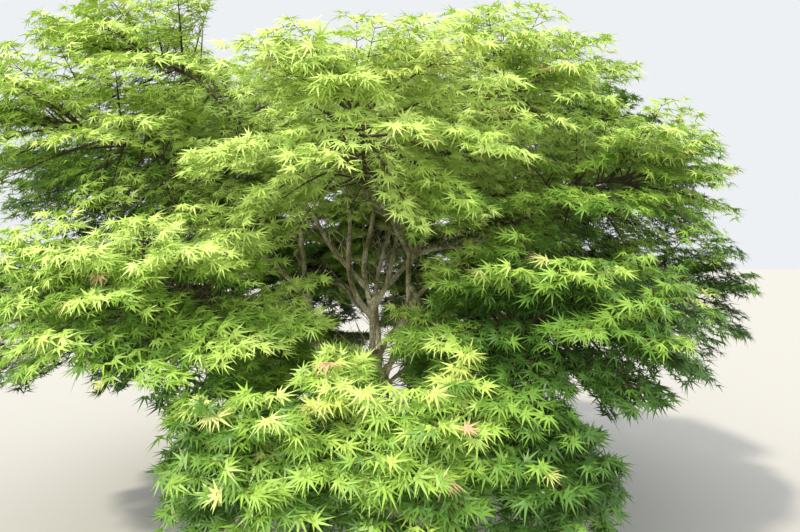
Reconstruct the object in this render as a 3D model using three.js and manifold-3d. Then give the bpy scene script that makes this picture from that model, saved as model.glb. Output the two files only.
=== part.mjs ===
// A Japanese maple in a garden: a short leaning trunk, long thin boughs and tiers of deeply cut leaves.
// Millimetres, +Z up. The origin is the middle of the flat cut under the trunk, at ground level.
// A bearing is in degrees about +Z: 0 is to the viewer's right, 90 is away from the viewer, 270 towards them.
import * as THREE from "three";
import { mergeVertices } from "three/addons/utils/BufferGeometryUtils.js";
import Module from "manifold-3d";

const wasm = await Module();
wasm.setup();

// Named sizes of the tree
const CLEARANCE = 0.3; // between two pieces that meet
const UP = new THREE.Vector3(0, 0, 1);

const TRUNK = {
  height: 560,
  foot: 94, // radius above the flare
  neck: 75, // radius where the boughs leave
  flare: 70, // how far the root flare stands out at the ground
  flareHeight: 120,
  buttresses: 5,
  lean: 60, // sideways shift of the fork, towards the bearing below
  leanBearing: 200,
  sides: 15,
  steps: 7,
};

// A bough's radius where it leaves the trunk or another bough, and at its tip.
const STEM = { foot: 27, tip: 10, sides: 7, steps: 7 };
const BOUGH = { foot: 19, tip: 10, sides: 6, steps: 5 };
const CROOK = 0.028; // how far a bough strays from its sweep, as a share of its length
const FORK_HEIGHT = 1210; // where the middle stem starts to part

// Rings of foliage masses, each with the heights of its masses from first to last. The first one's bearing
// and the step to the next are in degrees, and reach is how far out a mass's middle lies. long, wide and deep
// are its half sizes outwards, sideways and upwards. lift is the slope of the bough that enters it. opens is
// the turn of its first sprays. from names where its boughs start: the trunk, or the best place on a stem
// that is there already. forked lists the ones that part from the middle stem at its fork.
const TIERS = [
  {
    name: "crest", heights: [2700, 2620, 2620], first: 96, step: 120, reach: 400,
    long: 640, wide: 720, deep: 400, lift: 66, opens: 130, from: "trunk", forked: [2, 3],
  },
  {
    name: "top", heights: [2620, 2540, 2600, 2600, 2460], first: 9, step: 72, reach: 1300,
    long: 760, wide: 820, deep: 430, lift: 36, opens: 116, from: "trunk", forked: [1, 4],
  },
  {
    name: "high", heights: [2180, 2040, 2120, 2060, 1980, 2060, 2080, 2190], first: 270, step: 45,
    reach: 1640, long: 720, wide: 760, deep: 500, lift: 22, opens: 112, from: "stems", forked: [],
  },
  {
    name: "shoulder", heights: [1340, 1500, 1560, 1420, 1540, 1400, 1310, 1430], first: 300, step: 43,
    reach: 1750, long: 700, wide: 760, deep: 500, lift: 8, opens: 108, from: "stems", forked: [],
  },
  {
    name: "skirt", heights: [860, 900, 820], first: 262, step: 13, reach: 1820,
    long: 600, wide: 480, deep: 540, lift: -10, opens: 104, from: "stems", forked: [],
  },
  {
    name: "hem", heights: [880, 860], first: 55, step: 65, reach: 1690,
    long: 640, wide: 860, deep: 440, lift: -6, opens: 124, from: "stems", forked: [],
  },
];

// The tree leans out and up on its left, where the light is.
const BRIGHT_SIDE = 185;
const BRIGHT_REACH = 0.07; // share added to the reach there, and taken from it on the other side
const BRIGHT_RISE = 60; // added to the height there
const BORDER = 0.035; // share of a mass's size kept free on both sides of the border to the next
const BOXINESS = 2.5; // of a mass's space: 2 is an ellipsoid, and more is fuller towards its corners

// A mass is one stem with sprays: a twig with a leaf at its end, which is larger than life.
const TWIG = { stemFoot: 14, stemTip: 10, stemSides: 3, stemSteps: 4, foot: 5, tip: 4 };
const SPRAYS = {
  pairs: 4,
  first: 0.1, // share of the stem at the first pair
  last: 0.86,
  closes: 40, // turn of the last pair from the stem, in degrees
  rises: [-0.1, 0.8, -0.5, 0.5], // slopes that the pairs take in turn
  tops: [0.25, 0.6], // shares of the stem where a spray stands up
  topRise: 1.5,
  hangs: [-14, -42], // slopes of the leaves at the stem's foot and at its tip, in degrees
  roots: [0.85, 0.72, 0.6, 0.48, 0.36, 0.24, 0.12], // shares of the way to the border to try for a leaf
};
const LEAF = {
  lengths: [560, 490, 420, 350, 290, 240], // to try in turn
  lobes: [-104, -52, 0, 52, 104], // degrees from the middle lobe
  lobeLengths: [0.7, 0.9, 1, 0.9, 0.7],
  notch: 0.5, // how far out the gaps between the lobes start, as a share of the length
  heel: 0.12, // from the palm back to the twig
  thickness: 0.02,
  droop: 0.14, // how far the longest lobe's tip lies below the palm
};

const MAPLE_BARK = new THREE.MeshStandardMaterial({ color: 0x7d7566, roughness: 0.9, metalness: 0 });
const LEAF_GREENS = [0x7fb52c, 0x6aa329, 0x92c33a, 0x5c9526].map(
  (color) => new THREE.MeshStandardMaterial({ color, roughness: 0.55, metalness: 0 }),
);

// Directions and seeded numbers

const radians = THREE.MathUtils.degToRad;
const degrees = THREE.MathUtils.radToDeg;
const mix = (a, b, share) => a + (b - a) * share;
const from = (point, direction, distance) => point.clone().addScaledVector(direction, distance);

function heading(bearing, slope = 0) {
  const level = Math.cos(radians(slope));
  return new THREE.Vector3(
    Math.cos(radians(bearing)) * level,
    Math.sin(radians(bearing)) * level,
    Math.sin(radians(slope)),
  );
}

// A stream of numbers from 0 to 1 that is the same on every run.
function seededNumbers(seed) {
  let state = Math.imul(seed + 1, 2654435761) >>> 0;
  return () => {
    state = (Math.imul(state, 1664525) + 1013904223) >>> 0;
    return state / 4294967296;
  };
}

// Solids

// A three.js geometry as a solid that manifold-3d can join and cut.
function solidOf(geometry) {
  const bare = geometry.clone();
  bare.deleteAttribute("normal");
  bare.deleteAttribute("uv");
  const merged = mergeVertices(bare, 1e-4);
  return new wasm.Manifold(
    new wasm.Mesh({
      numProp: 3,
      vertProperties: new Float32Array(merged.attributes.position.array),
      triVerts: new Uint32Array(merged.index.array),
    }),
  );
}

function geometryOf(solid) {
  const mesh = solid.getMesh();
  const geometry = new THREE.BufferGeometry();
  geometry.setAttribute("position", new THREE.BufferAttribute(mesh.vertProperties, 3));
  geometry.setIndex(new THREE.BufferAttribute(mesh.triVerts, 1));
  geometry.computeVertexNormals();
  return geometry;
}

// The largest closed body of a solid. Scraps are dropped and sealed hollows are filled.
function mainBody(solid) {
  return solid.decompose().reduce((best, body) => (body.volume() > best.volume() ? body : best));
}

// A cylinder bent along a curve. radius(share, angle) gives its radius along and around the curve.
function bentCylinder(curve, radius, sides, steps) {
  const geometry = new THREE.CylinderGeometry(1, 1, 1, sides, steps);
  const frames = curve.computeFrenetFrames(steps, false);
  const place = geometry.attributes.position;
  for (let i = 0; i < place.count; i++) {
    const share = 0.5 - place.getY(i);
    const row = Math.round(share * steps);
    const angle = Math.atan2(place.getZ(i), place.getX(i));
    const out = Math.hypot(place.getX(i), place.getZ(i)) * radius(share, angle);
    const at = curve.getPointAt(share);
    at.addScaledVector(frames.normals[row], Math.cos(angle) * out);
    at.addScaledVector(frames.binormals[row], Math.sin(angle) * out);
    place.setXYZ(i, at.x, at.y, at.z);
  }
  return geometry;
}

// The trunk, from its flat cut at the ground to the fork

const forkPoint = heading(TRUNK.leanBearing).multiplyScalar(TRUNK.lean).setZ(TRUNK.height);

const trunkCurve = new THREE.CubicBezierCurve3(
  new THREE.Vector3(),
  new THREE.Vector3(0, 0, TRUNK.height * 0.4),
  from(forkPoint, UP, -TRUNK.height * 0.35),
  forkPoint,
);

function trunkSolid(extra = 0) {
  const radius = (share, angle) => {
    const spread = Math.exp((-share * TRUNK.height) / TRUNK.flareHeight);
    const ridge = 0.65 + 0.35 * Math.cos(TRUNK.buttresses * angle);
    return mix(TRUNK.foot, TRUNK.neck, share) + TRUNK.flare * spread * ridge + extra;
  };
  return solidOf(bentCylinder(trunkCurve, radius, TRUNK.sides, TRUNK.steps));
}

// The spaces of the foliage masses: rounded boxes that share out the tree's top between them

// How far out an offset in half sizes lies: 0 at a mass's middle and 1 at its skin.
function depthOf(...offsets) {
  return offsets.reduce((sum, offset) => sum + Math.abs(offset) ** BOXINESS, 0) ** (1 / BOXINESS);
}

// Half the size of a tier's spaces, measured outwards along a slope.
function halfSize({ long, deep }, slope) {
  return 1 / depthOf(Math.cos(radians(slope)) / long, Math.sin(radians(slope)) / deep);
}

function foliageSpace(tier, i) {
  const bearing = (tier.first + i * tier.step) % 360;
  const bright = Math.cos(radians(bearing - BRIGHT_SIDE));
  const outward = heading(bearing);
  const centre = outward.clone().multiplyScalar(tier.reach * (1 + BRIGHT_REACH * bright));
  centre.z = tier.heights[i] + BRIGHT_RISE * bright;
  const arrival = heading(bearing, tier.lift);
  return {
    tier,
    label: tier.heights.length > 1 ? `${tier.name}_${i + 1}` : tier.name,
    forked: tier.forked.includes(i + 1),
    bearing,
    outward,
    sideways: new THREE.Vector3().crossVectors(UP, outward),
    centre,
    arrival,
    entry: from(centre, arrival, -0.72 * halfSize(tier, tier.lift)),
  };
}

const spaces = TIERS.flatMap((tier) => tier.heights.map((_, i) => foliageSpace(tier, i)));

function depthIn(space, point) {
  const d = point.clone().sub(space.centre);
  const { long, wide, deep } = space.tier;
  return depthOf(d.dot(space.outward) / long, d.dot(space.sideways) / wide, d.z / deep);
}

// A point belongs to the space that it lies deepest in, if it lies in one at all.
function belongs(space, point) {
  const depth = depthIn(space, point);
  return depth < 1 && spaces.every((other) => other === space || depthIn(other, point) > depth + BORDER);
}

// The boughs: each leaves the trunk or a stem, and ends where its mass begins

// A smooth sweep that strays a little to the side and up and down, but not at its ends.
class BoughCurve extends THREE.Curve {
  constructor(start, leaving, end, arriving, random) {
    super();
    const length = start.distanceTo(end);
    this.sweep = new THREE.CubicBezierCurve3(
      start,
      from(start, leaving, length * 0.36),
      from(end, arriving, -length * 0.36),
      end,
    );
    this.stray = CROOK * length;
    this.side = new THREE.Vector3().crossVectors(UP, end.clone().sub(start)).normalize();
    this.turns = [random(), random()];
  }

  getPoint(share, target = new THREE.Vector3()) {
    const stray = this.stray * Math.sin(Math.PI * share) ** 2;
    this.sweep.getPoint(share, target);
    target.addScaledVector(this.side, stray * Math.sin(2 * Math.PI * (1.4 * share + this.turns[0])));
    return target.addScaledVector(UP, stray * Math.sin(2 * Math.PI * (1.1 * share + this.turns[1])));
  }
}

// The best place for a bough to fork off: near its mass, at an easy angle, and away from other forks.
const FORK = { first: 0.12, last: 0.86, step: 0.02, apart: 0.075, angle: 42, slopes: [12, 45], berth: 60 };
function bestFork(stems, space) {
  let best = null;
  for (const stem of stems) {
    const others = stems.filter((other) => other !== stem).flatMap(({ curve }) => linesOf(curve, () => 0, 8));
    for (let share = FORK.first; share <= FORK.last; share += FORK.step) {
      if (stem.forks.some((taken) => Math.abs(taken - share) < FORK.apart)) continue;
      const start = stem.curve.getPointAt(share);
      const along = stem.curve.getTangentAt(share);
      const way = space.entry.clone().sub(start);
      const slope = degrees(Math.asin(way.z / way.length()));
      const steepness = Math.max(0, FORK.slopes[0] - slope) + Math.max(0, slope - FORK.slopes[1]);
      const line = { start: from(start, way, 0.1), end: space.entry, radius: 0 };
      const crossing = farFrom([line], others, FORK.berth) ? 0 : 900;
      const bend = Math.abs(degrees(along.angleTo(way)) - FORK.angle);
      const cost = way.length() + 9 * bend + 11 * steepness + crossing;
      if (!best || cost < best.cost) best = { cost, stem, share, start, along, way: way.normalize() };
    }
  }
  return best;
}

function shareAtHeight(curve, height) {
  let share = 0;
  while (curve.getPointAt(share).z < height) share += 0.005;
  return share;
}

function growStem(space, i, middle) {
  const random = seededNumbers(100 + i);
  if (space.forked) {
    const share = shareAtHeight(middle.curve, FORK_HEIGHT) + 0.02 * i;
    middle.forks.push(share);
    const along = middle.curve.getTangentAt(share);
    const leaving = from(heading(space.bearing, 12), along, 0.7).normalize();
    const foot = 0.86 * mix(STEM.foot, STEM.tip, share);
    const curve = new BoughCurve(middle.curve.getPointAt(share), leaving, space.entry, space.arrival, random);
    return { space, curve, size: STEM, foot, forks: [] };
  }
  const start = trunkCurve.getPointAt(0.9 - 0.05 * (i % 3));
  const leaving = middle ? heading(space.bearing, 42) : UP;
  const curve = new BoughCurve(start, leaving, space.entry, space.arrival, random);
  return { space, curve, size: STEM, foot: STEM.foot * (middle ? 0.88 : 1), forks: [] };
}

function growBough(space, i, stems) {
  const fork = bestFork(stems, space);
  fork.stem.forks.push(fork.share);
  const leaving = fork.along.clone().multiplyScalar(0.5).add(fork.way).normalize();
  const curve = new BoughCurve(fork.start, leaving, space.entry, space.arrival, seededNumbers(200 + i));
  const foot = Math.min(BOUGH.foot, 0.84 * mix(fork.stem.foot, STEM.tip, fork.share));
  return { space, curve, size: BOUGH, foot, forks: [] };
}

function growBoughs() {
  const stems = [];
  for (const [i, space] of spaces.filter(({ tier }) => tier.from === "trunk").entries()) {
    stems.push(growStem(space, i, stems[0]));
  }
  const others = spaces.filter(({ tier }) => tier.from === "stems");
  return [...stems, ...others.map((space, i) => growBough(space, i, stems))];
}

function boughSolid({ curve, foot, size }, extra = 0) {
  const radius = (share) => mix(foot, size.tip, share) + extra;
  return solidOf(bentCylinder(curve, radius, size.sides, size.steps));
}

// Each bough is cut clear of the trunk and of the boughs that were there before it.
function cutBoughs(boughs) {
  const trunk = trunkSolid(CLEARANCE).add(trunkSolid(CLEARANCE).translate([0, 0, CLEARANCE]));
  const earlier = [];
  for (const bough of boughs) {
    let solid = boughSolid(bough).subtract(trunk);
    for (const grown of earlier) solid = solid.subtract(grown);
    bough.solid = mainBody(solid);
    earlier.push(boughSolid(bough, CLEARANCE));
  }
}

// Thin pieces as rounded lines, to keep leaves and twigs off the limbs and off each other

function linesOf(curve, radius, steps) {
  const points = curve.getSpacedPoints(steps);
  return points.slice(1).map((end, i) => ({ start: points[i], end, radius: radius((i + 0.5) / steps) }));
}

// The least distance between two straight lines that end.
function distanceApart(a, b) {
  const u = a.end.clone().sub(a.start);
  const v = b.end.clone().sub(b.start);
  const w = a.start.clone().sub(b.start);
  const uu = u.dot(u);
  const uv = u.dot(v);
  const vv = v.dot(v);
  const across = uu * vv - uv * uv;
  const clamp = (x) => Math.min(1, Math.max(0, x));
  let s = across > 1e-9 * uu * vv ? clamp((uv * v.dot(w) - vv * u.dot(w)) / across) : 0;
  const t = clamp((uv * s + v.dot(w)) / vv);
  s = clamp((uv * t - u.dot(w)) / uu);
  return w.addScaledVector(u, s).addScaledVector(v, -t).length();
}

const farFrom = (lines, others, spare) =>
  lines.every((a) => others.every((b) => distanceApart(a, b) > a.radius + b.radius + spare));

// A bough's lines. The last one ends a little short of the tip, where its own mass's stem begins.
function boughLines({ curve, foot, size }) {
  const lines = linesOf(curve, (share) => mix(foot, size.tip, share), 8);
  const last = lines.at(-1);
  last.end = last.start.clone().lerp(last.end, 0.88);
  return lines;
}

// A spray: a three-sided twig that runs out into a thin leaf, a star of lobes that is thickest at the palm

function leafOutline() {
  return LEAF.lobes.flatMap((angle, i) => {
    const lobe = heading(angle).multiplyScalar(LEAF.lobeLengths[i]);
    lobe.z = -LEAF.droop * LEAF.lobeLengths[i];
    if (i === LEAF.lobes.length - 1) return [lobe];
    return [lobe, heading((angle + LEAF.lobes[i + 1]) / 2).multiplyScalar(LEAF.notch)];
  });
}

const OUTLINE = leafOutline();

// The leaf's own frame: x along the middle lobe, y to its left and z up out of the blade.
function leafFrame(root, along, sideways, length) {
  const z = new THREE.Vector3().crossVectors(along, sideways).normalize();
  const y = new THREE.Vector3().crossVectors(z, along);
  const palm = from(root, along, LEAF.heel * length);
  return new THREE.Matrix4()
    .makeBasis(along, y, z)
    .scale(new THREE.Vector3(length, length, length))
    .setPosition(palm);
}

// Three corners round a point: to the left, to the right and below.
function corners(point, sideways, up, radius) {
  return [
    from(from(point, sideways, radius * 0.87), up, radius * 0.5),
    from(from(point, sideways, -radius * 0.87), up, radius * 0.5),
    from(point, up, -radius),
  ];
}

function spraySolid({ start, way, sideways, root, frame }) {
  const up = new THREE.Vector3().crossVectors(way, sideways);
  const points = [...corners(start, sideways, up, TWIG.foot), ...corners(root, sideways, up, TWIG.tip)];
  const half = LEAF.thickness / 2;
  const blade = [...OUTLINE, new THREE.Vector3(0.04, 0, half), new THREE.Vector3(0.04, 0, -half)];
  points.push(...blade.map((point) => point.clone().applyMatrix4(frame)));

  const edge = OUTLINE.map((_, i) => 6 + i);
  const above = 6 + OUTLINE.length;
  const below = above + 1;
  const faces = [0, 2, 1];
  const upper = [4, ...edge, 3];
  const lower = [4, ...edge, 3, 5];
  upper.forEach((a, i) => faces.push(a, upper[(i + 1) % upper.length], above));
  lower.forEach((a, i) => faces.push(lower[(i + 1) % lower.length], a, below));
  for (const [p, q] of [[0, 1], [1, 2], [2, 0]]) faces.push(3 + q, 3 + p, p, 3 + q, p, q);
  const geometry = new THREE.BufferGeometry().setFromPoints(points);
  geometry.setIndex(faces);
  return solidOf(geometry);
}

// A spray's twig and the lobes of its leaf, from the palm to each tip.
function sprayLines({ start, way, root, frame }, length) {
  const palm = new THREE.Vector3().applyMatrix4(frame);
  const lobes = OUTLINE.filter((_, i) => i % 2 === 0);
  const lobe = (tip) => ({ start: palm, end: tip.clone().applyMatrix4(frame), radius: 0.08 * length });
  const lines = lobes.map(lobe);
  lines.push({ start: from(start, way, 30), end: root, radius: TWIG.foot });
  return lines;
}

// The foliage masses: a stem from the bough's tip, pairs of sprays along it and one at its end

function stemCurve(space) {
  const { long, deep } = space.tier;
  const start = from(space.entry, space.arrival, CLEARANCE);
  const leaving = from(start, space.arrival, 0.3 * long);
  const over = from(space.centre, UP, 0.15 * deep);
  const end = from(space.centre, space.outward, 0.36 * long);
  return new THREE.CubicBezierCurve3(start, leaving, over, end);
}

// The longest straight run from a point that stays in its own space.
function longestRun(space, start, way) {
  const step = 30;
  let length = 60;
  while (length < 1200 && belongs(space, from(start, way, length + step))) length += step;
  return length;
}

// Where the sprays leave the stem, and which way. The end one comes first.
function sprayWays(space, stem, random) {
  const ways = [];
  const add = (share, turn, rise) => {
    const level = space.outward.clone().applyAxisAngle(UP, radians(turn));
    const slope = radians(mix(...SPRAYS.hangs, share) + 16 * (random() - 0.5));
    ways.push({
      start: stem.getPointAt(share),
      way: from(level, UP, rise).normalize(),
      hanging: level.clone().multiplyScalar(Math.cos(slope)).addScaledVector(UP, Math.sin(slope)),
      sideways: new THREE.Vector3().crossVectors(UP, level),
    });
  };
  add(0.985, 0, 0.15);
  for (let pair = SPRAYS.pairs - 1; pair >= 0; pair--) {
    const share = pair / (SPRAYS.pairs - 1);
    for (const side of [-1, 1]) {
      const turn = mix(space.tier.opens, SPRAYS.closes, share) + 16 * (random() - 0.5);
      const place = mix(SPRAYS.first, SPRAYS.last, share) + 0.012 * side;
      add(place, side * turn, SPRAYS.rises[pair] + 0.3 * (random() - 0.5));
    }
  }
  SPRAYS.tops.forEach((share, i) => add(share, (i % 2 ? 80 : -110) + 60 * (random() - 0.5), SPRAYS.topRise));
  return ways;
}

// The largest leaf that stays in its space and off the limbs and the other sprays, as far out as it can be.
function growSpray(space, { start, way, hanging, sideways }, limbLines, taken, random) {
  const run = longestRun(space, start, way);
  const tilted = sideways.clone().applyAxisAngle(hanging, 0.5 * (random() - 0.5));
  for (const length of LEAF.lengths) {
    for (const share of SPRAYS.roots) {
      const root = from(start, way, share * run);
      const frame = leafFrame(root, hanging, tilted, length);
      const spray = { start, way, sideways, root, frame };
      const lines = sprayLines(spray, length);
      const inside = ({ start: a, end: b }) => belongs(space, b) && belongs(space, a.clone().lerp(b, 0.6));
      if (!lines.every(inside)) continue;
      if (farFrom(lines, limbLines, 6) && farFrom(lines.slice(0, -1), taken, -20)) return { spray, lines };
    }
  }
  return null;
}

function growMass(space, limbLines, seed) {
  const random = seededNumbers(seed);
  const stem = stemCurve(space);
  const radius = (share) => mix(TWIG.stemFoot, TWIG.stemTip, share);
  const pieces = [solidOf(bentCylinder(stem, radius, TWIG.stemSides, TWIG.stemSteps))];
  const taken = [];
  for (const way of sprayWays(space, stem, random)) {
    const grown = growSpray(space, way, limbLines, taken, random);
    if (!grown) continue;
    taken.push(...grown.lines);
    pieces.push(spraySolid(grown.spray));
  }
  return mainBody(wasm.Manifold.union(pieces));
}

// The whole tree

function piece(name, solid, material) {
  const mesh = new THREE.Mesh(geometryOf(solid), material);
  mesh.name = name;
  return mesh;
}

function mapleTree() {
  const tree = new THREE.Group();
  tree.add(piece("trunk", trunkSolid(), MAPLE_BARK));

  const boughs = growBoughs();
  cutBoughs(boughs);
  for (const { space, solid } of boughs) tree.add(piece(`bough_${space.label}`, solid, MAPLE_BARK));

  const limbs = [...linesOf(trunkCurve, () => TRUNK.foot, 4), ...boughs.flatMap(boughLines)];
  const stems = spaces.map((space) => linesOf(stemCurve(space), () => TWIG.stemFoot, 4));
  spaces.forEach((space, i) => {
    const others = stems.flatMap((lines, n) => (n === i ? [] : lines));
    const solid = growMass(space, [...limbs, ...others], i);
    tree.add(piece(`foliage_${space.label}`, solid, LEAF_GREENS[i % LEAF_GREENS.length]));
  });
  return tree;
}

export default mapleTree();
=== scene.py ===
# %% [markdown]
# # A Japanese maple in a garden
#
# The real tree stands on a short leaning trunk. Long thin boughs carry wide, nearly level tiers of leaves,
# and each leaf is cut into narrow drooping fingers. A tree like this could be sculpted or bought as a scan,
# but then nobody could change it. Here it is grown: the limbs follow the rule of the part's own solids, and
# finer twigs and leaves carry that rule on inside the same reach.

# %% The solids of the tree
import math
from types import SimpleNamespace

import bpy
import numpy as np
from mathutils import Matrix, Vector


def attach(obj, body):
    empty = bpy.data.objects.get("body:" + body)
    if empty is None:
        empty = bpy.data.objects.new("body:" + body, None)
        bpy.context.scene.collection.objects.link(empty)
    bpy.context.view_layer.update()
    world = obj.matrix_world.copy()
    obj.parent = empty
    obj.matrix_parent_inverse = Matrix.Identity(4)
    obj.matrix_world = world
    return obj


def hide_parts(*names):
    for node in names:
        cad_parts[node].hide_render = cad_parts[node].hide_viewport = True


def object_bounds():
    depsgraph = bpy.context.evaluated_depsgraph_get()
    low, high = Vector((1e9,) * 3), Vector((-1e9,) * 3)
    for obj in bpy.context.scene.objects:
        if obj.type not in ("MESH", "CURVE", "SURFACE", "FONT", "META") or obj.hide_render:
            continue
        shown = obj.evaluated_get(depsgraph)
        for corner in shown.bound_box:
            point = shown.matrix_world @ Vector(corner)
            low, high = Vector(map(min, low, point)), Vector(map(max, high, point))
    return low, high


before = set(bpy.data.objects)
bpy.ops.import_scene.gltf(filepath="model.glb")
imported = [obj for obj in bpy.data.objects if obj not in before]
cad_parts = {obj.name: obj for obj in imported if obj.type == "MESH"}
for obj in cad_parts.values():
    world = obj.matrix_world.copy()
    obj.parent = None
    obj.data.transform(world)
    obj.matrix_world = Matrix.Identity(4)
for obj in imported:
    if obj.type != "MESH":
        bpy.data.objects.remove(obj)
solid_box = [list(corner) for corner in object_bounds()]
print("box of the solids in metres:", np.round(solid_box, 3).tolist())

# %% [markdown]
# ## Camera
#
# The lens and the place of the photograph's camera aren't known. They were chosen: a level camera at a
# usual eye height, about four metres away, with a wide lens. That keeps the upright stems upright, lets the
# crown run out of the frame, and makes the near foliage at the bottom much larger than the far foliage at
# the top.

# %% Camera at eye height
EYE = (0.17, -4.4, 1.6)
camera_data = bpy.data.cameras.new("camera")
camera_data.lens = 28.8
camera_data.sensor_width = 36
camera = bpy.data.objects.new("camera", camera_data)
camera.location = EYE
camera.rotation_euler = (math.radians(90), 0, 0)
bpy.context.scene.collection.objects.link(camera)
bpy.context.scene.camera = camera
print("camera at", EYE)

# %% [markdown]
# ## Directions and seeded numbers
#
# Every limb and twig leaves its parent by a rule with a little chance in it. The chance comes from a small
# generator with a fixed seed, so the same tree grows on each run, and it is the generator that placed the
# solids. A bearing is in degrees about the upright axis: 0 to the viewer's right, 90 away from them, 270
# towards them.

# %% Directions and seeded numbers
UP = np.array((0.0, 0.0, 1.0))


def mix(a, b, share):
    return a + (b - a) * share


def unit(vectors):
    return vectors / np.linalg.norm(vectors, axis=-1, keepdims=True)


def heading(bearing, slope=0.0):
    level = math.cos(math.radians(slope))
    around = math.radians(bearing)
    return np.array((math.cos(around) * level, math.sin(around) * level, math.sin(math.radians(slope))))


def turned(vector, degrees):
    """A vector turned about the upright axis."""
    c, s = math.cos(math.radians(degrees)), math.sin(math.radians(degrees))
    return np.array((c * vector[0] - s * vector[1], s * vector[0] + c * vector[1], vector[2]))


def seeded_numbers(seed):
    """A function that gives the next number from 0 to 1."""
    state = (seed + 1) * 2654435761 % 2**32

    def number():
        nonlocal state
        state = (state * 1664525 + 1013904223) % 2**32
        return state / 2**32

    return number


print("first numbers of seed 0:", [round(n(), 3) for n in [seeded_numbers(0)] * 3])

# %% [markdown]
# ## Sizes of the tree
#
# These are the driving sizes of the solids, in metres. The foliage hangs in six rings of masses round the
# stems. Each mass fills a rounded box at its own height, and the rings overlap as the tiers of the real
# crown do. Sizes that are written once can be changed once.

# %% Sizes of the tree
CLEARANCE = 0.0003  # between the tip of a bough and the stem of its mass
TRUNK = SimpleNamespace(
    height=0.560, foot=0.094, neck=0.075, flare=0.070,
    flare_height=0.120, buttresses=5, lean=0.060, lean_bearing=200,
)

# Stems start on the trunk, forked stems on the middle one, and boughs on any stem. thinner is a limb's foot
# beside the radius of what it leaves, follows how far it keeps that one's way, and buried how much of it
# lies inside.
STEM = SimpleNamespace(foot=0.027, tip=0.010, thinner=0.88, slope=42, buried=0.10)
FORKED = SimpleNamespace(thinner=0.86, slope=12, follows=0.7, buried=0.04, height=1.210, step=0.02)
BOUGH = SimpleNamespace(foot=0.019, tip=0.010, thinner=0.84, follows=0.5, buried=0.035)
CROOK = 0.028  # how far a limb strays from its sweep, as a share of its length

# The crown reaches a little further and higher on its brighter side.
BRIGHT_SIDE, BRIGHT_REACH, BRIGHT_RISE = 185, 0.07, 0.060
BORDER = 0.035  # left free between two masses, as a share of their half sizes
ENTRY = 0.72  # where a limb ends, from the middle of its mass to its skin


def ring(name, heights, first, step, reach, half_sizes, lift, opens, forked=None):
    """A ring of masses: half sizes outwards, sideways and upwards, and the slope of the limb that enters."""
    return SimpleNamespace(
        name=name, heights=heights, first=first, step=step, reach=reach, half_sizes=np.array(half_sizes),
        lift=lift, opens=opens, on_trunk=forked is not None, forked=forked or [],
    )


RINGS = [
    ring("crest", [2.70, 2.62, 2.62], 96, 120, 0.40, (0.64, 0.72, 0.40), 66, 130, [2, 3]),
    ring("top", [2.62, 2.54, 2.60, 2.60, 2.46], 9, 72, 1.30, (0.76, 0.82, 0.43), 36, 116, [1, 4]),
    ring(
        "high", [2.18, 2.04, 2.12, 2.06, 1.98, 2.06, 2.08, 2.19],
        270, 45, 1.64, (0.72, 0.76, 0.50), 22, 112,
    ),
    ring(
        "shoulder", [1.34, 1.50, 1.56, 1.42, 1.54, 1.40, 1.31, 1.43],
        300, 43, 1.75, (0.70, 0.76, 0.50), 8, 108,
    ),
    ring("skirt", [0.86, 0.90, 0.82], 262, 13, 1.82, (0.60, 0.48, 0.54), -10, 104),
    ring("hem", [0.88, 0.86], 55, 65, 1.69, (0.64, 0.86, 0.44), -6, 124),
]
print("masses of foliage:", sum(len(r.heights) for r in RINGS))

# %% [markdown]
# ## The space of each mass
#
# A point of the crown belongs to the mass in which it lies deepest. That shares the crown out between the
# masses with no overlaps, so no spray is grown twice in one place. The limb that carries a mass enters it
# low on its inner side, which is where a real bough breaks up into twigs.

# %% The space of each mass
BOXINESS = 2.5  # 2 gives an ellipsoid, and more makes it fuller towards its corners


def depth_of(offsets):
    """0 at the middle of a mass and 1 at its skin, from offsets in half sizes."""
    return (np.abs(offsets) ** BOXINESS).sum(axis=-1) ** (1 / BOXINESS)


def foliage_space(tier, i):
    bearing = (tier.first + i * tier.step) % 360
    bright = math.cos(math.radians(bearing - BRIGHT_SIDE))
    outward = heading(bearing)
    centre = outward * tier.reach * (1 + BRIGHT_REACH * bright)
    centre[2] = tier.heights[i] + BRIGHT_RISE * bright
    arrival = heading(bearing, tier.lift)
    half_size = 1 / depth_of(heading(0, tier.lift) / tier.half_sizes)
    return SimpleNamespace(
        tier=tier,
        name=f"{tier.name}_{i + 1}",
        forked=i + 1 in tier.forked,
        bearing=bearing,
        outward=outward,
        axes=np.array((outward, np.cross(UP, outward), UP)),
        centre=centre,
        arrival=arrival,
        entry=centre - arrival * ENTRY * half_size,
    )


spaces = [foliage_space(tier, i) for tier in RINGS for i in range(len(tier.heights))]


def depth_in(space, points):
    return depth_of((points - space.centre) @ space.axes.T / space.tier.half_sizes)


def belongs(space, points, border):
    """Whether points lie in a space, and deeper in it than in any other by the border."""
    depth = depth_in(space, points)
    others = np.min([depth_in(other, points) for other in spaces if other is not space], axis=0)
    return (depth < 1) & (others > depth + border)


print("spaces reach out to", round(max(np.linalg.norm(s.centre[:2]) for s in spaces), 2), "m")

# %% [markdown]
# ## Limbs
#
# A maple's boughs start steep and bend over towards the light. One smooth cubic curve gives that sweep, and
# a small wave on top of it keeps it from looking drawn with a ruler. Places along a limb are given as even
# shares of its length. The trunk leaves the ground upright, leans, and is upright again where the stems
# part.

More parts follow.
